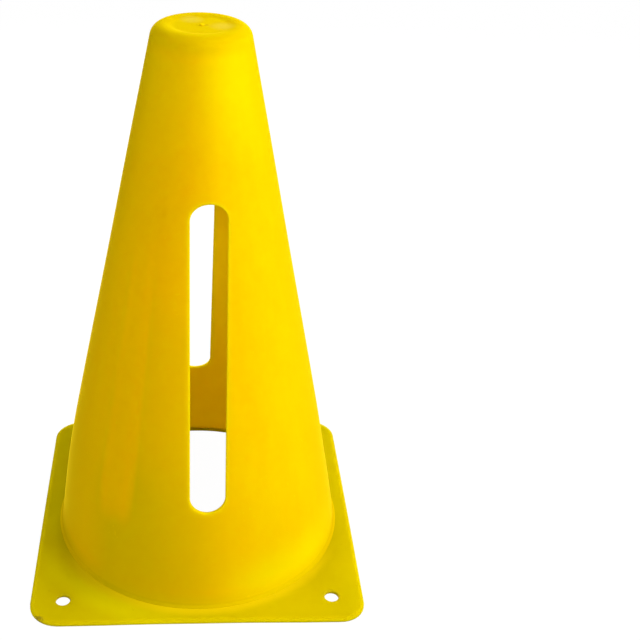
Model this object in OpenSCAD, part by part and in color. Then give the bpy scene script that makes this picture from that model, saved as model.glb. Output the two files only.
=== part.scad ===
// Slotted marker cone for sports: one thin moulding with a tapering wall,
// a rounded crown and a square base flange, parted here at its three regions.
// Lengths are millimetres and angles degrees. The origin is the centre of the
// flange's underside, +Z points up and the front slot faces -Y.

/* [Cone] */
// Height from the ground to the top of the crown
cone_h = 229; // [150:1:460]
// Outer radius that the wall's slope reaches at the height of the top
crown_r = 18; // [14:0.5:40]
// Thickness of the moulded wall, measured square to it
wall_t = 1.5; // [1:0.1:3]

/* [Crown] */
// Radius of the rounded shoulder
shoulder_r = 5; // [3.5:0.5:8]
// Height of the crown's sloping skirt below the shoulder's centre
crown_skirt = 1; // [0.5:0.5:10]
// Width of the level crest between the shoulder and the dish
crest_w = 0.6; // [0.2:0.1:2]
// Depth of the shallow dish in the top
dish_depth = 0.8; // [0.3:0.1:1.5]
// Radius of the tighter bend into the dish, on the crown's underside
dish_bend_r = 0.5; // [0.2:0.1:2]
// Radius of the moulding pip in the middle of the dish
pip_r = 1.1; // [0.6:0.1:2]
// Height of the moulding pip above the floor of the dish
pip_h = 0.7; // [0.3:0.1:1.5]
// Draft of the pip's side
pip_draft = 0.25; // [0.1:0.05:0.5]

/* [Slots] */
// Width of the front and back slots
slot_w = 14.2; // [8:0.2:20]
// Height of the half ellipse at each end of the slots
slot_end_h = 6.3; // [4:0.1:10]
// Distance from the top of the crown to the upper end of the slots
slot_crown_gap = 57.7; // [30:0.1:90]
// Distance from the ground to the lower end of the front slot
front_slot_foot_gap = 47; // [20:0.5:80]
// Distance from the ground to the lower end of the back slot
back_slot_foot_gap = 45.5; // [20:0.5:80]
// Sideways shift of the front slot from the cone's axis
front_slot_shift = 2.5; // [-5:0.1:5]
// Sideways shift of the back slot from the cone's axis
back_slot_shift = 0.3; // [-5:0.1:5]
// Turn of the slots about the cone's axis
slot_turn = 1; // [-10:0.5:10]

/* [Base flange] */
// Side of the square flange
base_side = 140; // [116:1:300]
// Thickness of the flange
base_t = 1.5; // [1:0.1:3]
// Radius of the flange's corners, seen from above
corner_r = 12.5; // [8:0.5:20]
// Distance from the wall's slope at the ground to the flange's side
foot_margin = 5; // [4.5:0.5:20]
// Width of the band along the flange's rim that falls away
rim_fall_w = 1.8; // [0.8:0.1:2.2]
// Radius of that band's round
rim_fall_r = 3; // [2.5:0.1:6]

/* [Foot of the wall] */
// Height below which the wall bends towards upright
foot_bend_h = 65; // [20:1:80]
// Distance that the bend takes the wall in from its slope at the ground
foot_tuck = 2.6; // [0.5:0.1:4]
// Radius of the fillet that leads the wall onto the flange
foot_fillet_r = 1.2; // [1:0.1:3]
// Height of the step where the fillet ends on the flange
foot_step = 0.3; // [0.1:0.1:0.8]

/* [Peg holes] */
// Diameter of the four peg holes
peg_hole_d = 6; // [4:0.5:9]
// Distance from a peg hole's centre to the two sides that it stands near
peg_inset = 13.5; // [10:0.5:18]

/* [Hidden] */
$fn = 128;
wall_colour = "#F0CB00";
flange_colour = "#D9C500";
arc_steps = 12;
slot_end_steps = 32;

// The wall's slope, its angle from upright and its outer radius at a height
half_side = base_side / 2;
foot_r = half_side - foot_margin;
slope = (foot_r - crown_r) / cone_h;
taper = atan(slope);
level_t = wall_t / cos(taper);
function wall_r(z) = foot_r - slope * z - foot_tuck * pow(max(0, 1 - z / foot_bend_h), 2);

// The shoulder's centre lies one shoulder radius inside the slope and the top
shoulder_z = cone_h - shoulder_r;
shoulder_x = wall_r(shoulder_z) - shoulder_r / cos(taper);
crown_z = shoulder_z - crown_skirt;

// The dish starts inside the crest and falls through two equal bends
dish_x = shoulder_x - crest_w;
bend_r = dish_bend_r + wall_t;
bend_angle = acos(1 - dish_depth / (2 * bend_r));
dish_floor_x = dish_x - 2 * bend_r * sin(bend_angle);
dish_floor_z = cone_h - dish_depth;

// The fillet's centre lies one fillet radius outside the wall and above the step
fillet_z = base_t + foot_step + foot_fillet_r;
foot_taper = atan(slope - 2 * foot_tuck / foot_bend_h * (1 - fillet_z / foot_bend_h));
fillet_x = wall_r(fillet_z) + foot_fillet_r / cos(foot_taper);

// Height above the ground at which the slots' upper ends start
slot_high = cone_h - slot_crown_gap - slot_end_h;

// Cuts run past the faces that they open by this much
overrun = wall_t;

// Points of an arc about a centre, from one angle to another
function arc(x, z, r, from, to) =
    [for (i = [0 : arc_steps]) let (a = from + (to - from) * i / arc_steps) [x + r * cos(a), z + r * sin(a)]];

function reversed(points) = [for (i = [len(points) - 1 : -1 : 0]) points[i]];

// Half section of the crown's face, moved inwards by a depth: skirt, shoulder,
// crest and the two bends of the dish
function crown_face(depth) = concat(
    [[wall_r(crown_z) - depth / cos(taper), crown_z]],
    arc(shoulder_x, shoulder_z, shoulder_r - depth, taper, 90),
    arc(dish_x, cone_h - bend_r, bend_r - depth, 90, 90 + bend_angle),
    arc(dish_floor_x, dish_floor_z + bend_r, bend_r + depth, bend_angle - 90, -90),
    [[0, dish_floor_z - depth]]
);

// Points of the wall's face from one height to the bend's upper end, moved inwards
function bent_face(from, inset) =
    [for (i = [0 : arc_steps]) let (z = from + (foot_bend_h - from) * i / arc_steps) [wall_r(z) - inset, z]];

// Half section of the wall: step, fillet, bend and slope outside, slope and bend inside
function wall_section() = concat(
    [[fillet_x, base_t]],
    arc(fillet_x, fillet_z, foot_fillet_r, -90, foot_taper - 180),
    bent_face(fillet_z, 0),
    [[wall_r(crown_z), crown_z], [wall_r(crown_z) - level_t, crown_z]],
    reversed(bent_face(base_t, level_t))
);

// Section of the flange from a centre line out to a rim that falls away
function rim_section(reach) = concat(
    [[0, 0], [reach, 0]],
    arc(reach - rim_fall_w, base_t - rim_fall_r, rim_fall_r, acos(rim_fall_w / rim_fall_r), 90),
    [[0, base_t]]
);

// A straight strip of the flange, with a falling rim along both of its sides
module rim_strip() {
    length = base_side - 2 * corner_r;
    for (side = [0, 1])
        mirror([0, side, 0])
            rotate([90, 0, 90])
                linear_extrude(length, center = true)
                    polygon(rim_section(half_side));
}

// The square outline: two crossed strips and a turned disc in each corner
module flange_blank() {
    rim_strip();
    rotate(90)
        rim_strip();
    for (x = [-1, 1], y = [-1, 1])
        translate([x * (half_side - corner_r), y * (half_side - corner_r), 0])
            rotate_extrude()
                polygon(rim_section(corner_r));
}

// The wall's inner face, carried on straight through the flange
module foot_opening() {
    inner_r = wall_r(base_t) - level_t;
    fall = (wall_r(0) - wall_r(base_t)) / base_t;
    translate([0, 0, -overrun])
        cylinder(h = base_t + 2 * overrun, r1 = inner_r + fall * (base_t + overrun), r2 = inner_r - fall * overrun);
}

module peg_holes() {
    for (x = [-1, 1], y = [-1, 1])
        translate([x * (half_side - peg_inset), y * (half_side - peg_inset), -overrun])
            cylinder(h = base_t + 2 * overrun, d = peg_hole_d);
}

// Points of a slot's half-elliptical end about a centre, from one angle on
function slot_end(z, from) =
    [for (i = [0 : slot_end_steps]) let (a = from + 180 * i / slot_end_steps) [slot_w / 2 * cos(a), z + slot_end_h * sin(a)]];

// A straight level cut from the axis out through the front (0) or the back (1)
module slot_cut(side, shift, foot_gap) {
    rotate(slot_turn)
        translate([shift, 0, 0])
            mirror([0, side, 0])
                rotate([90, 0, 0])
                    linear_extrude(foot_r + overrun)
                        polygon(concat(slot_end(foot_gap + slot_end_h, 180), slot_end(slot_high, 0)));
}

module base_plate() {
    color(flange_colour)
        difference() {
            flange_blank();
            foot_opening();
            peg_holes();
        }
}

module cone_wall() {
    color(wall_colour)
        difference() {
            rotate_extrude()
                polygon(wall_section());
            slot_cut(0, front_slot_shift, front_slot_foot_gap);
            slot_cut(1, back_slot_shift, back_slot_foot_gap);
        }
}

module crown() {
    color(wall_colour) {
        rotate_extrude()
            polygon(concat(crown_face(0), reversed(crown_face(wall_t))));
        translate([0, 0, dish_floor_z - overrun / 2])
            cylinder(h = pip_h + overrun / 2, r1 = pip_r, r2 = pip_r - pip_draft);
    }
}

base_plate();
cone_wall();
crown();
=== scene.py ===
"""The look of a slotted marker cone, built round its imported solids.

The real cone is one thin plastic moulding. It is drawn as two closed skins that meet where the solids do:
the slotted wall with its crown, and the square flange. The first has no seam, because light travels
inside its plastic. Each skin follows the solids that it stands for and adds what the mould gives it: soft
lips on the slots and peg holes, a round on every rim, and a slight unevenness that both share, so that
they stay joined.

Lengths are metres. The origin is the centre of the flange's underside, +Z is up and -Y is the front.
"""

import math

import bmesh
import bpy
import numpy as np
from bpy.props import FloatProperty, FloatVectorProperty, PointerProperty
from mathutils import Matrix, Vector


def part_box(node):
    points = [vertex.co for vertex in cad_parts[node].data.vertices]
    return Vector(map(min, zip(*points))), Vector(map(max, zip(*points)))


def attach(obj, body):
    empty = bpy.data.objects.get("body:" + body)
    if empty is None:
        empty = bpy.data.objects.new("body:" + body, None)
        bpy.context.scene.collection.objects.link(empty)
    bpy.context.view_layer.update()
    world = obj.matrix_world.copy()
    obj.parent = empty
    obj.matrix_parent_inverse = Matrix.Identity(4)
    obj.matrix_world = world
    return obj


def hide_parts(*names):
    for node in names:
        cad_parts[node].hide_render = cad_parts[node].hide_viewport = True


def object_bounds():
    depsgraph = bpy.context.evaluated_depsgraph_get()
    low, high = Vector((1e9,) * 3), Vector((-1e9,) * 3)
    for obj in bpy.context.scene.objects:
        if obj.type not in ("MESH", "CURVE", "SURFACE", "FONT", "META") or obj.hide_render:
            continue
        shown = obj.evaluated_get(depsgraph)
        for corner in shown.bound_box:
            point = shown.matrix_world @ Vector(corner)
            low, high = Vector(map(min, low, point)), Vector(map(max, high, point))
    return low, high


bl_info = {
    "name": "Slotted marker cone",
    "version": (1, 0, 0),
    "blender": (4, 5, 0),
    "location": "3D View > Sidebar > Marker cone",
    "description": "Draws a slotted marker cone for sports, its finishes and a plain studio",
    "category": "Add Mesh",
}

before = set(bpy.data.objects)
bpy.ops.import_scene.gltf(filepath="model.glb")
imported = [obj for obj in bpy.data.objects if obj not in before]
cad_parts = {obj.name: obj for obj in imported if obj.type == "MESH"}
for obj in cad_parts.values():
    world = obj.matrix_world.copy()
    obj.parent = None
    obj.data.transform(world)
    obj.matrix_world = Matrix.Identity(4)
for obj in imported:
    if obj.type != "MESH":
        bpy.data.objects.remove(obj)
cad_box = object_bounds()
plate_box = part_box("base_plate")
crown_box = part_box("crown")

COLUMNS = 144  # points round the wall and the crown
SLOT_REACH = 9  # columns from a slot's middle to the border of its patch
SLOT_ROWS = 60  # rows of cells along a slot's straight sides
HOLE_REACH = 4  # columns from a peg hole's middle to the border of its patch


# ---------------------------------------------------------------- settings


def number(name, text, value, **more):
    """A setting that holds a plain number, or one with the unit and the limits that more gives."""
    return FloatProperty(name=name, description=text, default=value, **more)


def length(name, text, value):
    """A setting that holds a length in metres."""
    return number(name, text, value, unit="LENGTH", subtype="DISTANCE", precision=4)


def share(name, text, value, top=1.0):
    """A setting that holds a number from 0 to top."""
    return number(name, text, value, min=0.0, max=top)


def point(name, text, *place):
    """A setting that holds a point in metres."""
    return FloatVectorProperty(name=name, description=text, subtype="XYZ", default=place)


def colour(name, text, red, green, blue):
    """A setting that holds a colour, written as the 0 to 255 values that a screen shows."""
    screen = np.array([red, green, blue]) / 255
    linear = np.where(screen > 0.04045, ((screen + 0.055) / 1.055) ** 2.4, screen / 12.92)
    more = {"subtype": "COLOR", "min": 0.0, "max": 1.0}
    return FloatVectorProperty(name=name, description=text, default=tuple(linear), **more)


class ConeShape(bpy.types.PropertyGroup):
    """Sizes of the moulding"""

    height: length("Height", "From the ground to the top of the crown", cad_box[1].z)
    side: length("Flange side", "Side of the square flange", cad_box[1].x - cad_box[0].x)
    flange: length("Flange thickness", "Thickness of the square flange", plate_box[1].z)
    corner: length("Flange corner", "Radius of the flange's corners, seen from above", 0.0125)
    foot_margin: length("Foot margin", "From the wall's slope at the ground to the flange's side", 0.005)
    crown_r: length("Crown radius", "Outer radius that the wall's slope reaches at the top", 0.018)
    wall: length("Wall", "Thickness of the wall, measured square to it", 0.0015)
    joint: length("Crown joint", "Height where the crown sits on the wall", crown_box[0].z)
    shoulder: length("Shoulder", "Radius of the rounded shoulder", 0.005)
    crest: length("Crest", "Width of the level crest between the shoulder and the dish", 0.0006)
    dish: length("Dish", "Depth of the shallow dish in the top", 0.0005)
    dish_bend: length("Dish bend", "Radius of the two bends that lead down into the dish", 0.007)
    pip: length("Pip", "Radius of the moulding pip in the middle of the dish", 0.0009)
    pip_rise: length("Pip height", "Height of the moulding pip above the dish", 0.0005)
    slot: length("Slot width", "Width of the front and back slots", 0.0142)
    slot_end: length("Slot end", "Height of the half ellipse at each end of the slots", 0.0063)
    slot_head: length("Slot head", "From the top of the crown to the upper end of the slots", 0.0582)
    slot_foot: length("Front slot foot", "From the ground to the lower end of the front slot", 0.0462)
    back_slot_foot: length("Back slot foot", "From the ground to the lower end of the back slot", 0.045)
    slot_shift: length("Front slot shift", "Sideways shift of the front slot from the cone's axis", 0.0025)
    back_slot_shift: length("Back slot shift", "Sideways shift of the back slot from the cone's axis", 0.0003)
    slot_turn: number("Slot turn", "Turn of the slots about the axis", math.radians(1), unit="ROTATION")
    lip: length("Lip round", "Radius of the round on the slots' two lips", 0.00045)
    bend_top: length("Foot bend", "Height below which the wall bends towards upright", 0.065)
    tuck: length("Foot tuck", "How far the bend takes the wall in from its slope at the ground", 0.0026)
    lean: length("Foot lean", "How far the wall's foot stands aside of the flange's middle", 0.0008)
    back_reach: length("Back reach", "How much farther out the foot stands at the very back", 0.0022)
    corner_out: length("Corner reach", "How far a sharp front right corner would be drawn out", 0.0012)
    fillet: length("Foot fillet", "Radius of the fillet that leads the wall onto the flange", 0.0012)
    step: length("Foot step", "Height of the step where the fillet ends on the flange", 0.0003)
    rim_fall: length("Rim fall", "Width of the band along the flange's rim that falls away", 0.0018)
    rim_round: length("Rim round", "Radius of that band's round", 0.003)
    peg_hole: length("Peg hole", "Diameter of the four peg holes", 0.006)
    peg_inset: length("Peg inset", "From a peg hole's centre to the two sides near it", 0.0135)
    unevenness: length("Unevenness", "How far the wall wanders from a true cone", 0.00018)
    warp: length("Warp", "How far the middles of the flange's sides stand above its corners", 0.0004)


class ConeFinish(bpy.types.PropertyGroup):
    """Colours and surface of the moulding"""

    yellow: colour("Yellow", "Colour of the wall", 250, 194, 0)
    # Also painted shade: the wall's front left leans towards this tone.
    deep: colour("Deep yellow", "Colour of the wall where the plastic runs deeper", 246, 185, 0)
    # Painted light: the paler upper end and the foot's lit side use this colour.
    upper: colour("Upper yellow", "Colour of the wall's upper end and of its foot's lit side", 250, 210, 0)
    # Painted shade: the crown's top is drawn darker than the wall.
    crest: colour("Crest yellow", "Colour of the crown's top", 218, 183, 0)
    # Painted shade: the duller bands on the wall's shaded left and its darker lower front.
    flow: colour("Flow bands", "Colour of the duller bands on the wall's left", 213, 181, 0)
    bright: colour("Bright band", "Colour of the band between them", 255, 185, 0)
    # Also painted shade on the wall's right edge and low on its inner face; the streaks are the plastic's
    # own.
    warm: colour("Warm streak", "Colour of the faint warm streaks that run up the wall", 246, 176, 0)
    # Painted light: the wall's inner face and the flange's opening edge are drawn brighter than the wall.
    inside: colour("Inside", "Colour of the wall's inner face", 252, 207, 0)
    flange: colour("Flange", "Colour of the flange at the front", 206, 185, 0)
    # Also painted shadow: the flange darker towards the back and back left, and painted shade in the crease
    # round the foot.
    flange_deep_and_shadow: colour("Deep flange", "Colour of the flange where the plastic runs deeper", 160, 146, 0)
    glow: colour("Glow", "Colour of the front flange beside the foot, where the wall lights it", 240, 230, 0)
    # The pale patches in the dish.
    dish_patch: colour("Dust", "Colour of the pale rubbed patches in the dish", 236, 208, 100)
    # Also a painted highlight on the slot lips and the flange's rim, and painted light on the flange's front
    # beside the foot; the scratches are wear.
    worn_and_highlight: colour("Worn plastic", "Colour of rubbed edges", 246, 212, 12)
    # Also painted shade: the pip's shadow and the peg holes' edges; the specks and the scuff are dirt.
    grime_and_shade: colour("Grime", "Colour of the dirt in creases and scuffs", 120, 104, 30)
    roughness: share("Roughness", "Roughness of the satin surface", 0.5)
    grain: share("Grain", "Strength of the moulded grain", 0.35)
    reach: length("Light's reach", "How far light travels in the wall's plastic", 0.004)
    flange_reach: length("Light's reach below", "How far light travels in the flange's plastic", 0.004)
    grime_level: share("Grime level", "How much dirt lies in creases and scuffs", 0.5)


class ConeStage(bpy.types.PropertyGroup):
    """Studio, lamps and camera"""

    camera_place: point("Camera place", "Where the camera stands", -0.0066606, -0.4085895, 0.3491314)
    camera_aim: point("Camera aim", "The point that the camera looks at", 0.0239656, 0.0, 0.1042259)
    camera_roll: number("Camera roll", "Turn about the camera's line of sight", 0.0396044, unit="ROTATION")
    camera_lens: number("Lens", "Focal length in millimetres on a 36 mm sensor", 64.13)
    camera_shift: number("Lens shift", "Sideways shift of the lens", 0.1)
    key: number("Key light", "Strength of the large lamp on the right", 4.8, min=0.0)
    fill: number("Fill light", "Strength of the small lamp beside the camera", 1.36, min=0.0)
    back: number("Back light", "Strength of the small lamp behind", 3.3, min=0.0)
    side: number("Side light", "Strength of the small lamp on the left", 0.3, min=0.0)
    room: share("Room light", "Strength of the even light from all round", 0.29, 2.0)
    paper: share("Floor glow", "Share of the floor's white that no shadow takes away", 0.9)


# ---------------------------------------------------------------- profiles


class Form:
    """Lengths that follow from the settings; radii are of the wall's outer slope."""

    def __init__(self, s):
        self.s = s
        self.half = s.side / 2
        self.foot_r = self.half - s.foot_margin
        self.slope = (self.foot_r - s.crown_r) / s.height
        self.taper = math.degrees(math.atan(self.slope))
        self.level = s.wall * math.sqrt(1 + self.slope**2)
        self.fillet_z = s.flange + s.step + s.fillet
        foot_slope = self.slope - 2 * s.tuck / s.bend_top * (1 - self.fillet_z / s.bend_top)
        self.foot_taper = math.degrees(math.atan(foot_slope))
        self.fillet_x = self.outside(self.fillet_z) + s.fillet * math.sqrt(1 + foot_slope**2)
        self.shoulder_z = s.height - s.shoulder
        self.shoulder_x = self.outside(self.shoulder_z) - s.shoulder * math.sqrt(1 + self.slope**2)
        self.dish_x = self.shoulder_x - s.crest
        self.bend = math.degrees(math.acos(1 - s.dish / (2 * s.dish_bend)))
        self.floor_x = self.dish_x - 2 * s.dish_bend * math.sin(math.radians(self.bend))
        self.floor_z = s.height - s.dish
        self.slot_r = s.slot / 2
        self.slot_low = s.slot_foot + s.slot_end
        self.slot_high = s.height - s.slot_head - s.slot_end

    def outside(self, z):
        """Outer radius at a height z: foot_r - slope z, less tuck (1 - z / bend_top)^2 below bend_top."""
        return self.foot_r - self.slope * z - self.s.tuck * np.maximum(0, 1 - z / self.s.bend_top) ** 2

    def inside(self, z):
        """Inner radius at a height: the outer one less the wall, measured level."""
        return self.outside(z) - self.level


def arc(x, z, r, start, end, steps=10):
    """Points (x + r cos a, z + r sin a), with the angle a going evenly from start to end, in degrees."""
    a = np.radians(np.linspace(start, end, steps + 1))
    return np.column_stack((x + r * np.cos(a), z + r * np.sin(a)))


def fill(path, gap):
    """Cuts each straight piece of a path into equal shares no longer than gap: with n shares, point k of
    piece i lies at i + k / n along the path's own numbering, and the coordinates are read there."""
    spans = np.linalg.norm(np.diff(path, axis=0), axis=1)
    shares = np.maximum(1, np.ceil(spans / gap)).astype(int)
    piece = np.repeat(np.arange(len(shares)), shares)
    step = np.arange(shares.sum()) - np.repeat(np.cumsum(shares) - shares, shares)
    at = np.append(piece + step / shares[piece], len(shares))
    return np.column_stack([np.interp(at, np.arange(len(path)), line) for line in path.T])


def crown_face(form, depth):
    """Half section of the crown's face moved in by a depth: skirt, shoulder, crest and the two dish bends."""
    s = form.s
    return np.vstack(
        (
            [[form.outside(s.joint) - depth * math.sqrt(1 + form.slope**2), s.joint]],
            arc(form.shoulder_x, form.shoulder_z, s.shoulder - depth, form.taper, 90, 16),
            arc(form.dish_x, s.height - s.dish_bend, s.dish_bend - depth, 90, 90 + form.bend, 6),
            arc(form.floor_x, form.floor_z + s.dish_bend, s.dish_bend + depth, form.bend - 90, -90, 6),
        )
    )


def crown_sections(form):
    """The crown's half sections: the outer one from the joint to the pip's middle, the inner one back from
    the axis to the joint."""
    s = form.s
    top, soft = form.floor_z + s.pip_rise, s.pip * 0.25
    pip = np.vstack(
        (
            arc(s.pip + soft, form.floor_z + soft, soft, 270, 180, 4),
            arc(s.pip * 0.8 - soft, top - soft, soft, 0, 90, 4),
            [[0, top]],
        )
    )
    under = np.vstack((crown_face(form, s.wall), [[0, form.floor_z - s.wall]]))
    return fill(np.vstack((crown_face(form, 0), pip)), 0.001), fill(under, 0.001)[::-1]


# ---------------------------------------------------------------- skins


def cells_of(numbers):
    """The four corners of each cell of a grid of point numbers."""
    return np.stack((numbers[:-1, :-1], numbers[:-1, 1:], numbers[1:, 1:], numbers[1:, :-1]), -1)


class Skin:
    """A closed mesh put together from grids of points that share their edges. Its points carry four marks
    from 0 to 1: lip on a soft edge, inside on the inner face, seat near where the two skins meet and rim
    along the flange's rim."""

    MARKS = ("lip", "inside", "seat", "rim")

    def __init__(self):
        self.points, self.marks, self.faces, self.count = [], {m: [] for m in self.MARKS}, [], 0

    def add(self, x, y, z, **marks):
        """Adds a grid of points and gives their numbers in the same layout."""
        x, y, z = np.broadcast_arrays(x, y, z)
        self.points.append(np.stack((x, y, z), -1).reshape(-1, 3))
        for name, rows in self.marks.items():
            rows.append(np.broadcast_to(np.asarray(marks.get(name, 0.0), float), x.shape).ravel())
        numbers = self.count + np.arange(x.size).reshape(x.shape)
        self.count += x.size
        return numbers

    def weave(self, numbers, keep=None):
        """Joins each cell of a grid of point numbers with a face, or only the cells that keep says."""
        cells = cells_of(numbers)
        self.faces.append((cells if keep is None else cells[keep]).reshape(-1, 4))

    def fan(self, ring, tip):
        """Joins a closed ring of point numbers to one point."""
        self.faces.append(np.column_stack((ring, np.roll(ring, -1), np.full(len(ring), tip))))

    def mesh(self, name, form):
        """Writes the mesh: all points settled, doubles merged, faces outwards, and no edge left open."""
        faces = [f for block in self.faces for f in block.tolist()]
        mesh = bpy.data.meshes.new(name)
        mesh.from_pydata(settle(np.vstack(self.points), form).tolist(), [], faces)
        for mark, rows in self.marks.items():
            values = np.concatenate(rows).astype(np.float32)
            mesh.attributes.new(mark, "FLOAT", "POINT").data.foreach_set("value", values)
        tidy = bmesh.new()
        tidy.from_mesh(mesh)
        bmesh.ops.remove_doubles(tidy, verts=tidy.verts, dist=1e-6)
        bmesh.ops.recalc_face_normals(tidy, faces=tidy.faces)
        open_edges = sum(1 for e in tidy.edges if len(e.link_faces) != 2)
        tidy.to_mesh(mesh)
        tidy.free()
        if open_edges:
            raise RuntimeError(f"{name} isn't closed: {open_edges} edges have no face on one side")
        mesh.polygons.foreach_set("use_smooth", np.ones(len(mesh.polygons), bool))
        mesh.set_sharp_from_angle(angle=math.radians(40))
        return mesh


def rounded(wrap):
    """A grid's columns with the first one again at the end, so that it closes."""
    return np.concatenate((wrap, wrap[:, :1]), axis=1)


def smooth(low, high, value):
    """Goes from 0 at low to 1 at high along 3 t^2 - 2 t^3."""
    t = np.clip((value - low) / (high - low), 0, 1)
    return t * t * (3 - 2 * t)


def settle(points, form):
    """The unevenness that all the skins share, so their joints stay closed. Each point moves inwards by
    unevenness * (1 + sin(2 a + 9 h) sin(5 h + 1)) / 2, where a is its angle round the axis and h its height
    over the cone's, and that fades out at the ground and at the top. The flange's sides rise by
    warp * (1 - c), where c is how near a point lies to a corner's direction, and that fades out up the wall.
    The foot moves aside along X by lean, which fades out up the wall and towards the flange's rim, and the
    back of the foot moves out by back_reach in the same way. The round of the front right corner moves by
    corner_out * t * u along X and Y, where t and u go from 0 at the round's start to 1 at each side. No
    point leaves the flange's square."""
    s = form.s
    x, y, z = points.T
    angle, rise = np.arctan2(y, x), z / s.height
    still = smooth(0.0, 0.03, rise) * smooth(1.0, 0.9, rise)
    inwards = s.unevenness * still * (1 + np.sin(2 * angle + 9 * rise) * np.sin(5 * rise + 1)) / 2
    reach = np.maximum(np.hypot(x, y), 1e-6)
    corner = smooth(0.45, 1.0, 2 * np.abs(x * y) / reach**2) * smooth(0.8, 1.25, reach / form.half)
    lift = s.warp * (1 - corner) * smooth(0.35, 0.0, rise)
    low = smooth(0.2, 0.0, rise) * smooth(1.0, 0.9, reach / form.half)
    behind = s.back_reach * low * smooth(0.5, 1.0, y / reach)
    round_x, round_y = (np.clip((away - form.half) / s.corner + 1, 0, 1) for away in (x, -y))
    drawn = s.corner_out * round_x * round_y
    x = np.clip(x * (1 - inwards / reach) + s.lean * low + drawn, -form.half, form.half)
    y = np.clip(y * (1 - inwards / reach) + behind - drawn, -form.half, form.half)
    return np.column_stack((x, y, z + lift))


def patch_ring(top, reach):
    """Numbers of the points on the border of a patch that is top rows high and reaches as many columns to
    each side of its middle, anticlockwise from its lower right corner: up the right side, over the top, down
    the left side and along the bottom. They come as rows of the patch and columns from its middle."""
    up, across = np.arange(top), np.arange(2 * reach)
    row = np.concatenate((up, np.full(2 * reach, top), top - up, np.zeros(2 * reach, int)))
    column = np.concatenate((np.full(top, reach), reach - across, np.full(top, -reach), across - reach))
    return row, column


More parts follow.
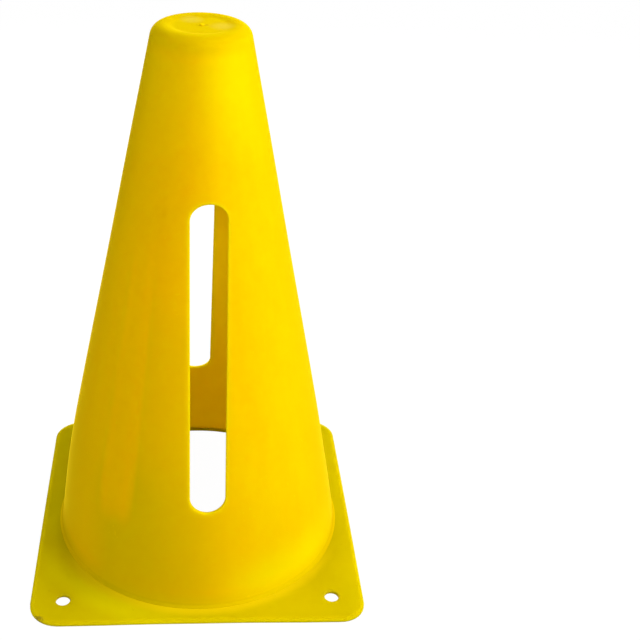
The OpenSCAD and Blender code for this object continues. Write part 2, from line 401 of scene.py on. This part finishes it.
def slotted_wall(form):
    """The wall: a closed half section turned round the axis, x = r sin a and y = -r cos a, with a patch cut
    out of its outer and inner face at each slot. The strip that fills a patch starts at the outer border,
    runs to the slot's outline, round its two soft lips and out to the inner border. The outline is a long
    hole with half-elliptical ends, (m + q cos b, c + e sin b): m is the slot's shift, q half its width, e
    the height of an end, c the height of the nearer end's centre and b goes round it. A point at the
    distance d from the outline lies that far out along (e cos b, q sin b) made one long. Depth through the
    wall runs along Y, from sqrt(R^2 - u^2) for the outer radius R to the same for the inner one."""
    s, skin, k = form.s, Skin(), SLOT_REACH

    # The patches reach 18 mm below the slots' straight sides and 11 mm above them
    low, high = form.slot_low - 0.018, form.slot_high + 0.011
    z_patch = np.concatenate(
        (
            np.linspace(low, form.slot_low, k + 1)[:-1],
            np.linspace(form.slot_low, form.slot_high, SLOT_ROWS + 1),
            np.linspace(form.slot_high, high, k + 1)[1:],
        )
    )
    foot = np.vstack(
        (
            arc(form.fillet_x - s.step, s.flange, s.step, 0, 72, 4),
            arc(form.fillet_x, form.fillet_z, s.fillet, -105, form.foot_taper - 180, 10),
        )
    )
    z_foot = np.linspace(foot[-1, 1], low, 14)[1:-1]
    z_foot_in = np.linspace(s.flange, low, 16)[:-1]
    z_head = np.linspace(high, s.joint, 18)[1:-1]
    z_out = np.concatenate((z_foot, z_patch, z_head))
    z_in = np.concatenate((z_foot_in, z_patch, z_head))[::-1]
    over, under = crown_sections(form)
    r = np.concatenate((foot[:, 0], form.outside(z_out), over[:-1, 0], under[1:, 0], form.inside(z_in)))
    z = np.concatenate((foot[:, 1], z_out, over[:-1, 1], under[1:, 1], z_in))
    top_row = len(foot) + len(z_out) + len(over) - 2
    is_in = np.arange(len(r)) > top_row
    a = np.arange(COLUMNS) * 2 * math.pi / COLUMNS
    seat = smooth(0.005, 0.001, z - s.flange) * ~is_in
    x, y = r[:, None] * np.sin(a), -r[:, None] * np.cos(a)
    numbers = skin.add(x, y, z[:, None], inside=is_in[:, None], seat=seat[:, None])

    rows = len(z_patch)
    out_row = len(foot) + len(z_foot) + np.arange(rows)
    in_row = len(r) - 1 - len(z_foot_in) - np.arange(rows)
    keep = np.ones((len(r), COLUMNS), bool)
    keep[top_row] = False
    for middle in (0, COLUMNS // 2):
        span = (middle + np.arange(-k, k)) % COLUMNS
        keep[np.ix_(out_row[:-1], span)] = False
        keep[np.ix_(in_row[1:], span)] = False
    loop = np.vstack((rounded(numbers), rounded(numbers)[:1]))
    skin.weave(loop, keep)

    # The middle of the crown's top and of its underside
    tips = skin.add(np.zeros(2), np.zeros(2), np.array([over[-1, 1], under[0, 1]]), inside=np.array([0, 1]))
    skin.fan(numbers[top_row], tips[0])
    skin.fan(numbers[top_row + 1], tips[1])

    # The angle b at each point of the border, whose corners lie at 45 degrees
    row, column = patch_ring(rows - 1, k)
    height, aside = z_patch[row], column * 2 * math.pi / COLUMNS
    end = np.clip(np.abs(row - (rows - 1) / 2) - SLOT_ROWS / 2, 0, k) / k * 45 * np.sign(row - (rows - 1) / 2)
    b = np.where(column == k, end, 180 - end)
    b = np.where(np.abs(column) < k, np.where(row > 0, 90 - 45 * column / k, 270 + 45 * column / k), b)
    b = np.radians(b)

    # The lips' profile: distance d from the outline, distance in from the nearer face, and which face
    turn = np.radians(np.linspace(0, 90, 6))
    d = s.lip * (1 - np.concatenate((np.sin(turn), [1], np.sin(turn)[::-1])))
    sunk = s.lip * (1 - np.concatenate((np.cos(turn), [1], np.cos(turn)[::-1])))
    face = np.concatenate((np.zeros(6), [0.5], np.ones(6)))
    spread = (np.linspace(0, 1, 9)[1:-1] ** 1.3)[:, None]

    out_u, out_v = s.slot_end * np.cos(b), form.slot_r * np.sin(b)
    out_u, out_v = out_u / np.hypot(out_u, out_v), out_v / np.hypot(out_u, out_v)

    def through(u, v, side, depth):
        """Distance from the axis along Y, on the outer face (side 0), the inner one (1) or between."""
        outer = np.sqrt(form.outside(v) ** 2 - u**2) - depth
        inner = np.sqrt(form.inside(v) ** 2 - u**2) + depth
        return (1 - side) * outer + side * inner

    slots = ((0, 1, s.slot_shift, s.slot_foot), (COLUMNS // 2, -1, s.back_slot_shift, s.back_slot_foot))
    for middle, front, shift, slot_foot in slots:
        centre = np.interp(row, (k, k + SLOT_ROWS), (slot_foot + s.slot_end, form.slot_high))

        def at_lip(away):
            """Points at a distance from the slot's outline, as seen along Y."""
            u = front * shift + form.slot_r * np.cos(b) + away * out_u
            return u, centre + s.slot_end * np.sin(b) + away * out_v

        start_u, start_v = at_lip(s.lip)
        u_out = start_u + spread * (form.outside(height) * np.sin(aside) - start_u)
        u_in = start_u + spread * (form.inside(height) * np.sin(aside) - start_u)
        v_on = start_v + spread * (height - start_v)
        u_lip, v_lip = at_lip(d[:, None])
        u = np.vstack((u_out[::-1], u_lip, u_in))
        v = np.vstack((v_on[::-1], v_lip, v_on))
        side = np.concatenate((np.zeros(len(spread)), face, np.ones(len(spread))))[:, None]
        depth = np.concatenate((np.zeros(len(spread)), sunk, np.zeros(len(spread))))[:, None]
        gap = np.hypot(u - at_lip(0)[0], v - at_lip(0)[1])
        y = -front * through(u, v, side, depth)
        strip = skin.add(front * u, y, v, lip=smooth(0.0022, s.lip, gap), inside=side)
        outer = numbers[out_row[row], (middle + column) % COLUMNS]
        inner = numbers[in_row[row], (middle + column) % COLUMNS]
        skin.weave(rounded(np.vstack((outer, strip, inner))))
    return turned(skin, s.slot_turn)


def turned(skin, angle):
    """Turns a skin's points about the cone's axis."""
    c, n = math.cos(angle), math.sin(angle)
    skin.points = [p @ np.array([[c, n, 0], [-n, c, 0], [0, 0, 1]]) for p in skin.points]
    return skin


def square_flange(form):
    """The flange: a closed section carried round the axis along straight rays. A ray at the angle b starts
    on the opening's circle and ends on the rounded square, half / cos b away on a straight side, with b from
    that side's middle, and m + sqrt(m^2 - 2 c^2 + q^2) in a corner of radius q about (c, c), with
    m = c (cos b + sin b). The rim falls away square to that outline. Each peg hole is a patch of its own,
    filled by a strip from the patch's border to the hole's soft edge, down through the plate and out."""
    s, skin = form.s, Skin()
    c, q = form.half - s.corner, s.corner

    # The rays of a quarter turn, closest together over the peg hole's patch from 40.8 to 49.2 degrees
    stops, shares = (0, 30, 40.8, 49.2, 60, 90), (12, 9, 2 * HOLE_REACH, 9, 12)
    spans = [np.linspace(*ends, n + 1)[:-1] for *ends, n in zip(stops, stops[1:], shares)]
    quarter = np.concatenate(spans)
    b = np.radians(np.concatenate([quarter + 90 * n for n in range(4)]))

    # The outline o and its outward direction n
    cb, sb = np.cos(b), np.sin(b)
    major, minor = np.maximum(abs(cb), abs(sb)), np.minimum(abs(cb), abs(sb))
    m = c * (abs(cb) + abs(sb))
    on_corner = m + np.sqrt(np.maximum(m**2 - 2 * c**2 + q**2, 0))
    out = np.where(form.half * minor / major <= c, form.half / major, on_corner)
    ox, oy = out * cb, out * sb
    nx, ny = ox - np.clip(ox, -c, c), oy - np.clip(oy, -c, c)
    nx, ny = nx / np.hypot(nx, ny), ny / np.hypot(nx, ny)

    # The rim's profile, as distance in from the outline and height: the fall, then two small rounds
    steepest = 180 - math.degrees(math.acos(s.rim_fall / s.rim_round))
    fall = arc(s.rim_fall, s.flange - s.rim_round, s.rim_round, 90, steepest, 6)
    top_r, low_r = 0.0003, 0.00015
    top_round = arc(top_r, fall[-1, 1] - 0.0001, top_r, 130, 180, 3)
    low_round = arc(low_r, low_r, low_r, 180, 270, 3)
    rim = np.vstack((fall[:-1], top_round, low_round))

    # The lane from the opening to the rim, as shares of its width; the peg holes' patches fill the middle
    first, last = 4, 4 + 2 * HOLE_REACH
    stops, shares = (0, 0.34, 0.83, 1), (first, last - first, 3)
    spans = [np.linspace(*ends, n + 1)[:-1] for *ends, n in zip(stops, stops[1:], shares)]
    lane = np.concatenate(spans)[:, None]

    # Where the lane starts, i on the plate and j below it, and where it ends, u on the plate and w below it
    ix, iy = form.inside(s.flange) * cb, form.inside(s.flange) * sb
    jx, jy = form.inside(0.0) * cb, form.inside(0.0) * sb
    ux, uy = ox - rim[0, 0] * nx, oy - rim[0, 0] * ny
    wx, wy = ox - rim[-1, 0] * nx, oy - rim[-1, 0] * ny
    x = np.vstack((ix + lane * (ux - ix), ox - rim[:, :1] * nx, (jx + lane * (wx - jx))[::-1]))
    y = np.vstack((iy + lane * (uy - iy), oy - rim[:, :1] * ny, (jy + lane * (wy - jy))[::-1]))
    z = np.concatenate((np.full(len(lane), s.flange), rim[:, 1], np.zeros(len(lane))))[:, None]
    apart = np.hypot(x, y) - form.fillet_x
    upper = (z > s.flange / 2).astype(float)
    near_rim = smooth(0.0026, 0.0004, np.abs((ox - x) * nx + (oy - y) * ny)) * upper
    seat = smooth(0.005, 0.001, apart) * smooth(-0.0024, -0.0012, apart)
    numbers = skin.add(x, y, z, seat=seat, rim=near_rim, inside=smooth(-0.0018, -0.0023, apart))

    columns = len(b)
    low_row = len(z) - 1 - np.arange(len(lane))
    keep = np.ones((len(z), columns), bool)

    # A hole's edge: distance out from its side and height, from the plate's top down to its underside
    turn = np.radians(np.linspace(0, 90, 5))
    top_r, low_r = 0.0003, 0.0002
    d = np.concatenate((top_r * (1 - np.sin(turn)), low_r * (1 - np.sin(turn[::-1]))))
    down = np.concatenate((s.flange - top_r * (1 - np.cos(turn)), low_r * (1 - np.cos(turn[::-1]))))
    spread = np.linspace(0, 1, 5)[1:-1][:, None]
    row, column = patch_ring(last - first, HOLE_REACH)
    row = first + row
    spin = np.radians(-45 + 360 * np.arange(len(row)) / len(row))
    for n in range(4):
        middle = (2 * n + 1) * columns // 8
        span = (middle + np.arange(-HOLE_REACH, HOLE_REACH)) % columns
        keep[np.ix_(np.arange(first, last), span)] = False
        keep[np.ix_(low_row[first + 1 : last + 1], span)] = False
        tilt, inset = b[middle], form.half - s.peg_inset
        px, py = inset * np.sign(math.cos(tilt)), inset * np.sign(math.sin(tilt))
        # On the plate, the patch's right is clockwise round the axis, so the spin runs with the columns
        ex = np.cos(spin) * -math.sin(tilt) + np.sin(spin) * math.cos(tilt)
        ey = np.cos(spin) * math.cos(tilt) + np.sin(spin) * math.sin(tilt)
        where = (middle + column) % columns

        def strip_line(hole, line):
            """The strip's X or Y: from the upper border to the hole, through it and out to the lower one."""
            above = hole[0] + spread * (line[row, where] - hole[0])
            below = hole[-1] + spread * (line[low_row[row], where] - hole[-1])
            return np.vstack((above[::-1], hole, below))

        away = s.peg_hole / 2 + d[:, None]
        sx, sy = strip_line(px + away * ex, x), strip_line(py + away * ey, y)
        sz = np.concatenate((np.full(len(spread), s.flange), down, np.zeros(len(spread))))[:, None]
        gap = np.hypot(sx - px, sy - py) - s.peg_hole / 2
        strip = skin.add(sx, sy, sz, lip=smooth(0.0012, 0.0003, gap))
        skin.weave(rounded(np.vstack((numbers[row, where], strip, numbers[low_row[row], where]))))
    loop = np.vstack((rounded(numbers), rounded(numbers)[:1]))
    skin.weave(loop, keep)
    return skin


def place(name, skin, form, finish, slot, *nodes):
    """Puts a finished skin into the scene, on the cone's one body, in the place of its solids."""
    piece = bpy.data.objects.new(name, skin.mesh(name, form))
    bpy.context.scene.collection.objects.link(piece)
    piece.data.materials.append(finish)
    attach(piece, "root")
    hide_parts(*nodes)


# ---------------------------------------------------------------- finishes


class Wire:
    """One output of a node. Sums, differences, products and powers of wires and numbers add Math nodes."""

    def __init__(self, net, socket):
        self.net, self.socket = net, socket

    def maths(self, operation, left, right=0.0):
        """A Math node of two values, or of the left one alone."""
        return self.net.node("ShaderNodeMath", {"operation": operation}, {0: left, 1: right})

    def __add__(self, other):
        return self.maths("ADD", self, other)

    def __sub__(self, other):
        return self.maths("SUBTRACT", self, other)

    def __rsub__(self, other):
        return self.maths("SUBTRACT", other, self)

    def __mul__(self, other):
        return self.maths("MULTIPLY", self, other)

    def __pow__(self, other):
        return self.maths("POWER", self, other)

    __radd__, __rmul__ = __add__, __mul__

    def between(self, low, high):
        """0 below low and 1 above high, with a soft start and end; low may be the larger."""
        sockets = {"Value": self, "From Min": low, "From Max": high}
        return self.net.node("ShaderNodeMapRange", {"interpolation_type": "SMOOTHSTEP"}, sockets)


class Net:
    """The nodes of one finish."""

    def __init__(self, tree):
        self.tree = tree
        tree.nodes.clear()

    def node(self, kind, settings=None, sockets=None, out=0):
        """Adds a node: its settings first, then the values or wires of its sockets. Gives one output."""
        made = self.tree.nodes.new(kind)
        for name, value in (settings or {}).items():
            setattr(made, name, value)
        for name, value in (sockets or {}).items():
            if isinstance(value, Wire):
                self.tree.links.new(value.socket, made.inputs[name])
            else:
                made.inputs[name].default_value = value
        return Wire(self, made.outputs[out]) if made.outputs else made

    def mix(self, amount, under, over):
        """Blends two colours by an amount."""
        under, over = (v if isinstance(v, Wire) else (*v, 1.0) for v in (under, over))
        return self.node("ShaderNodeMix", {"data_type": "RGBA"}, {0: amount, 6: under, 7: over}, out=2)

    def coordinates(self):
        """Place in the cone's own frame."""
        return self.node("ShaderNodeTexCoord", out="Object")

    def part(self, vector, axis):
        """One coordinate of a vector: X, Y or Z."""
        return self.node("ShaderNodeSeparateXYZ", None, {"Vector": vector}, out=axis)

    def scaled(self, vector, stretch=(1, 1, 1), turn=(0, 0, 0), move=(0, 0, 0)):
        """A vector moved, turned and stretched."""
        sockets = {"Vector": vector, "Location": move, "Rotation": turn, "Scale": stretch}
        return self.node("ShaderNodeMapping", None, sockets)

    def noise(self, vector, scale, detail=2.0, roughness=0.5):
        """Soft noise about one half, with scale waves to the metre."""
        sockets = {"Vector": vector, "Scale": scale, "Detail": detail, "Roughness": roughness}
        return self.node("ShaderNodeTexNoise", None, sockets)

    def mark(self, name):
        """A mark that the skins carry at their points."""
        return self.node("ShaderNodeAttribute", {"attribute_name": name}, out="Fac")

    def spot(self, vector, centre, low, high):
        """1 within high of a centre, fading to 0 at low from it."""
        settings = {"operation": "DISTANCE"}
        apart = self.node("ShaderNodeVectorMath", settings, {0: vector, 1: centre}, out="Value")
        return apart.between(low, high)

    def white_seen(self):
        """1 where the eye sees the surround, straight, mirrored or through glass."""
        rays = ("Is Camera Ray", "Is Glossy Ray", "Is Transmission Ray")
        return sum(self.node("ShaderNodeLightPath", out=ray) for ray in rays)

    def bump(self, height, strength, distance):
        """A normal that follows a height."""
        sockets = {"Strength": strength, "Distance": distance, "Height": height}
        return self.node("ShaderNodeBump", None, sockets)


def satin(name, paint, reach):
    """A satin plastic that light enters as far as reach, but not where one skin sits on the other, so that
    no light is lost between the two. paint(net, settings, xyz) gives its colour, roughness and grain
    height. The sheen at a low angle keeps the plastic's own tint."""
    material = bpy.data.materials.new(name)
    material.use_nodes = True
    net, s = Net(material.node_tree), bpy.context.scene.cone_finish
    hue, rough, grain = paint(net, s, net.coordinates())
    normal = net.bump(grain, s.grain, 0.0002)
    both = {"Base Color": hue, "Roughness": rough, "Normal": normal, "IOR": 1.5, "Specular IOR Level": 0.0}
    deep = {"Subsurface Weight": 1.0, "Subsurface Radius": (1.0, 1.0, 0.3), "Subsurface Scale": reach}
    clear = net.node("ShaderNodeBsdfPrincipled", None, both | deep)
    solid = net.node("ShaderNodeBsdfPrincipled", None, both)
    plastic = net.node("ShaderNodeMixShader", None, {0: net.mark("seat"), 1: clear, 2: solid})
    tint = (1.0, 0.72, 0.02, 1.0)
    gloss = net.node("ShaderNodeBsdfGlossy", None, {"Color": tint, "Roughness": rough, "Normal": normal})
    sheen = net.node("ShaderNodeFresnel", None, {"IOR": 1.1, "Normal": normal})
    finished = net.node("ShaderNodeMixShader", None, {0: sheen, 1: plastic, 2: gloss})
    net.node("ShaderNodeOutputMaterial", None, {"Surface": finished})
    return material


def cone_paint(net, s, xyz):
    """Yellow that drifts between two tones in clouds and upright streaks, and leans to the deeper one on the
    front left as painted shade. The left has duller bands of painted shade with a bright one between them.
    The upper end and the foot's lit side are paler as painted light, and the right edge is warmer as painted
    shade. The crown's top and the foot where it meets the flange are darker as painted shade, the wall's
    inside is brighter as painted light and warmer low down as painted shade, and the lips are paler, partly
    wear and partly a painted highlight. Heights are metres. The angle round the axis is in radians from the
    front and grows to the right; its jump at the back is masked by ahead."""
    side, height, front = net.part(xyz, "X"), net.part(xyz, "Z"), net.part(xyz, "Y") * -1.0
    around = front.maths("ARCTAN2", side, front)
    ahead = around.maths("COSINE", around).between(-0.6, -0.1)
    inside = net.mark("inside")
    clouds = net.noise(xyz, 16.0, 3.0)
    streaks = net.noise(net.scaled(xyz, (150.0, 150.0, 5.0)), 1.0, 3.0)
    mottle = net.noise(xyz, 240.0, 3.0, 0.6)
    fine = net.noise(xyz, 1300.0, 2.0, 0.6)
    # The front left leans towards the deep tone as painted shade; the clouds and streaks are the plastic's
    # own drift.
    tone = clouds * 0.9 + streaks * 0.6 + mottle * 0.25 + ahead * around.between(0.3, -0.4) * 0.35 - 0.4
    hue = net.mix(tone.between(0.2, 0.8), s.yellow, s.deep)
    warm = net.noise(net.scaled(xyz, (34.0, 34.0, 2.5), move=(3.1, 0.4, 0.0)), 1.0, 1.0)
    hue = net.mix(warm.between(0.55, 0.75) * 0.35, hue, s.warm)

    # The left's duller bands and its darker lower front are painted shade, with a bright band between the
    # bands; the paler upper end and lower right are painted light, and the warmer right edge is painted shade
    band = around.between(-0.85, -0.75) * around.between(-0.48, -0.6) * height.between(0.03, 0.055)
    duller = around.between(0.5, -0.1) * around.between(-1.0, -0.6)
    duller = duller * (height.between(0.155, 0.115) * 0.6 + height.between(0.1, 0.045) * 0.13)
    # Painted shade: the lower front left is darker.
    duller = duller + ahead * around.between(0.1, -0.6) * height.between(0.08, 0.045) * 0.35
    hue = net.mix(duller * (1.0 - band), hue, s.flow)
    hue = net.mix(band * height.between(0.17, 0.13), hue, s.bright)
    # Painted light: the upper end is paler all round and more so on the lit front right, and so is the foot's
    # lit right side.
    lit = around.between(-0.2, 0.3) * around.between(1.0, 0.6)
    hue = net.mix(height.between(0.175, 0.215) * (lit * 0.4 + 0.25), hue, s.upper)
    hue = net.mix(ahead * height.between(0.03, 0.008) * around.between(0.0, 0.5) * 0.9, hue, s.upper)
    # Painted shade: the right edge is warmer.
    hue = net.mix(around.maths("SINE", around).between(0.75, 1.0) * 0.6, hue, s.warm)

    # The crown's top is darker as painted shade, the foot darker where it meets the flange as painted shade,
    # and the inner face brighter as painted light and warmer low down as painted shade
    hue = net.mix(height.between(0.2205, 0.2265) * 0.85, hue, s.crest)
    # Painted shade at the foot, where it meets the flange.
    hue = net.mix(height.between(0.01, 0.0035) * 0.5, hue, s.flange)
    hue = net.mix(height.between(0.0042, 0.0022) * 0.35, hue, s.flange_deep_and_shadow)
    # Painted light: the inner face is brighter than the outside.
    hue = net.mix(inside * 0.8, hue, s.inside)
    # Painted shade: the inner face is warmer low down.
    hue = net.mix(inside * height.between(0.09, 0.04) * 0.18, hue, s.warm)

    # Faint scratches; lips paler from wear and a painted highlight; pale patches in the dish; and a painted
    # shadow of the pip
    scratch = net.noise(net.scaled(xyz, (60.0, 1500.0, 420.0), (0.3, 0.5, 0.9)), 1.0, 2.0)
    patch = net.noise(xyz, 45.0, 2.0)
    rubs = scratch.between(0.66, 0.74) * patch.between(0.52, 0.66)
    hue = net.mix(rubs * 0.3, hue, s.worn_and_highlight)
    # Paler lips: wear and a painted highlight where their rounds catch the light.
    hue = net.mix(net.mark("lip") * 0.35, hue, s.worn_and_highlight)
    # Two pale patches in the dish.
    dish_patches = net.spot(xyz, (-0.0035, 0.0066, 0.2282), 0.0055, 0.0015)
    dish_patches = dish_patches + net.spot(xyz, (0.0075, -0.0012, 0.2282), 0.006, 0.001)
    hue = net.mix(dish_patches * 0.17, hue, s.dish_patch)
    # Painted shadow of the pip, just to its right.
    hue = net.mix(net.spot(xyz, (0.0018, 0.0, 0.2285), 0.0011, 0.0003) * 0.25, hue, s.grime_and_shade)
    rough = s.roughness + mottle * 0.12 - 0.06 + rubs * 0.15
    return hue, rough, fine * 0.35 + mottle + streaks * 0.4


def flange_paint(net, s, xyz):
    """A greener yellow in clouds that deepens in the front corners, and towards the back and the back left as
    a painted shadow of the cone. It is brighter at the front of the foot, where the wall lights it, with
    painted light beside the foot's front and on the opening's edge. It has specks of dirt, a scuff on the
    front left corner's edge, peg holes with edges darkened as painted shade, and a paler rim, partly wear and
    partly a painted highlight."""
    clouds = net.noise(xyz, 26.0, 3.0)
    mottle = net.noise(xyz, 260.0, 4.0, 0.6)
    fine = net.noise(xyz, 1300.0, 2.0, 0.6)
    side, depth = net.part(xyz, "X"), net.part(xyz, "Y")
    # Painted shadow of the cone: darker towards the back and the back left.
    back = depth.between(-0.065, -0.015) * 0.6 + depth.between(-0.035, 0.01) * side.between(0.02, -0.05) * 0.4
    corner = side.maths("ABSOLUTE", side).between(0.045, 0.065) * depth.between(-0.035, -0.06) * 0.35
    hue = net.mix(back + corner + clouds * 0.3 + mottle * 0.1 - 0.15, s.flange, s.flange_deep_and_shadow)
    reach = (side * side + depth * depth) ** 0.5
    ring = reach.between(0.079, 0.071) * reach.between(0.064, 0.068)
    hue = net.mix(ring * side.between(0.0, -0.04) * depth.between(-0.02, -0.045) * 0.25, hue, s.glow)
    # Painted light: the flange's front beside the foot is lighter.
    hue = net.mix(net.mark("seat") * depth.between(-0.02, -0.045) * 0.35, hue, s.worn_and_highlight)
    # Painted light: the opening's edge takes the inner face's brighter colour.
    hue = net.mix(net.mark("inside"), hue, s.inside)
    # Paler rim: wear and a painted highlight along its round.
    hue = net.mix(net.mark("rim") * 0.15, hue, s.worn_and_highlight)
    # Painted shade on the peg holes' edges.
    hue = net.mix(net.mark("lip") * 0.2, hue, s.grime_and_shade)
    specks = net.noise(xyz, 420.0, 2.0).between(0.68, 0.78)
    scuff = net.spot(xyz, (-0.0658, -0.0668, 0.0006), 0.0036, 0.001)
    scuff = scuff * net.noise(xyz, 900.0).between(0.42, 0.58)
    hue = net.mix((specks * 0.2 + scuff * 1.5) * s.grime_level, hue, s.grime_and_shade)
    rough = s.roughness + 0.05 + mottle * 0.12
    return hue, rough, fine * 0.35 + mottle


# ---------------------------------------------------------------- operators


class CONE_OT_wall(bpy.types.Operator):
    """Draw the tapering wall with its foot fillet, its two slots and its dished crown"""

    bl_idname = "marker_cone.wall"
    bl_label = "Slotted wall and crown"

    def execute(self, context):
        scene = context.scene
        form = Form(scene.cone_shape)
        finish = satin("cone_plastic", cone_paint, scene.cone_finish.reach)
        skin = slotted_wall(form)
        place("slotted_wall_and_crown", skin, form, finish, "cone_plastic", "cone_wall", "crown")
        return {"FINISHED"}


class CONE_OT_flange(bpy.types.Operator):
    """Draw the square flange with its falling rim and its four peg holes"""

    bl_idname = "marker_cone.flange"
    bl_label = "Square flange"

    def execute(self, context):
        scene = context.scene
        form = Form(scene.cone_shape)
        finish = satin("flange_plastic", flange_paint, scene.cone_finish.flange_reach)
        skin = square_flange(form)
        place("square_flange", skin, form, finish, "flange_plastic", "base_plate")
        return {"FINISHED"}


def lamp(name, place, aim, size, energy, glossy=True):
    """A square soft lamp that faces a point, and may be left out of the gloss."""
    light = bpy.data.lights.new(name, "AREA")
    light.size, light.energy = size, energy
    shown = bpy.data.objects.new(name, light)
    bpy.context.scene.collection.objects.link(shown)
    shown.location = place
    shown.rotation_euler = (Vector(aim) - Vector(place)).to_track_quat("-Z", "Y").to_euler()
    shown.visible_camera, shown.visible_glossy = False, glossy


class CONE_OT_stage(bpy.types.Operator):
    """Lay the pale floor, set the lamps and stand the camera where the photograph was taken"""

    bl_idname = "marker_cone.stage"
    bl_label = "Studio and camera"

    def execute(self, context):
        scene, s = context.scene, context.scene.cone_stage
        scene.view_settings.view_transform = "Standard"

        # A white surround to the eye and in reflections, and an even grey light otherwise
        scene.world = bpy.data.worlds.new("surround")
        scene.world.use_nodes = True
        net = Net(scene.world.node_tree)
        strength = net.white_seen() * (1.0 - s.room) + s.room
        ground = net.node("ShaderNodeBackground", None, {"Color": (1.0, 1.0, 1.0, 1.0), "Strength": strength})
        net.node("ShaderNodeOutputWorld", None, {"Surface": ground})

        # The floor: white paper that glows by a share to the eye, so that a shadow stays faint
        half, below = 3, -0.0002
        u, v = np.meshgrid(np.linspace(-half, half, 13), np.linspace(-half, half, 13))
        cells = cells_of(np.arange(u.size).reshape(u.shape)).reshape(-1, 4)
        points = np.column_stack((u.ravel(), v.ravel(), np.full(u.size, below)))
        sheet = bpy.data.meshes.new("floor")
        sheet.from_pydata(points.tolist(), [], cells.tolist())
        floor = bpy.data.objects.new("floor", sheet)
        scene.collection.objects.link(floor)
        paper = bpy.data.materials.new("paper")
        paper.use_nodes = True
        net = Net(paper.node_tree)
        matt = net.node("ShaderNodeBsdfDiffuse", None, {"Color": (0.45, 0.45, 0.45, 1.0)})
        glow = net.node("ShaderNodeEmission", None, {"Color": (1.0, 1.0, 1.0, 1.0), "Strength": 1.09})
        both = net.node("ShaderNodeMixShader", None, {0: net.white_seen() * s.paper, 1: matt, 2: glow})
        net.node("ShaderNodeOutputMaterial", None, {"Surface": both})
        sheet.materials.append(paper)

        lamp("key", (0.64, -0.16, 0.51), (0.0, 0.0, 0.1), 0.4, s.key)
        lamp("fill", (-0.007, -0.45, 0.38), (0.0, 0.0, 0.1), 0.15, s.fill)
        lamp("back", (0.02, 0.55, 0.4), (0.0, 0.0, 0.08), 0.25, s.back, glossy=False)
        lamp("side", (-0.55, 0.2, 0.12), (0.0, 0.0, 0.12), 0.25, s.side, glossy=False)

        eye = bpy.data.cameras.new("camera")
        eye.lens, eye.sensor_width, eye.shift_x = s.camera_lens, 36.0, s.camera_shift
        eye.clip_start, eye.clip_end = 0.02, 20.0
        camera = bpy.data.objects.new("camera", eye)
        scene.collection.objects.link(camera)
        place_at, sight = Vector(s.camera_place), Vector(s.camera_aim) - Vector(s.camera_place)
        camera.matrix_world = (
            Matrix.Translation(place_at)
            @ sight.to_track_quat("-Z", "Y").to_matrix().to_4x4()
            @ Matrix.Rotation(s.camera_roll, 4, "Z")
        )
        scene.camera = camera
        return {"FINISHED"}


class CONE_PT_build(bpy.types.Panel):
    """The cone's settings and the buttons that draw its parts"""

    bl_idname = "CONE_PT_build"
    bl_label = "Marker cone"
    bl_space_type = "VIEW_3D"
    bl_region_type = "UI"
    bl_category = "Marker cone"

    def draw(self, context):
        for title, group in (("Shape", "cone_shape"), ("Finish", "cone_finish"), ("Studio", "cone_stage")):
            column = self.layout.box().column(align=True)
            column.label(text=title)
            settings = getattr(context.scene, group)
            for name in settings.__annotations__:
                column.prop(settings, name)
        for operator in OPERATORS:
            self.layout.operator(operator.bl_idname)


GROUPS = {"cone_shape": ConeShape, "cone_finish": ConeFinish, "cone_stage": ConeStage}
OPERATORS = (CONE_OT_stage, CONE_OT_flange, CONE_OT_wall)


def register():
    for kind in (*GROUPS.values(), *OPERATORS, CONE_PT_build):
        bpy.utils.register_class(kind)
    for name, kind in GROUPS.items():
        setattr(bpy.types.Scene, name, PointerProperty(type=kind))


def unregister():
    for name in GROUPS:
        delattr(bpy.types.Scene, name)
    for kind in (CONE_PT_build, *OPERATORS, *GROUPS.values()):
        bpy.utils.unregister_class(kind)


def main():
    """Registers the settings, operators and panel, then draws the studio, the flange and the wall."""
    register()
    bpy.ops.marker_cone.stage()
    bpy.ops.marker_cone.flange()
    bpy.ops.marker_cone.wall()


if __name__ == "__main__":
    main()
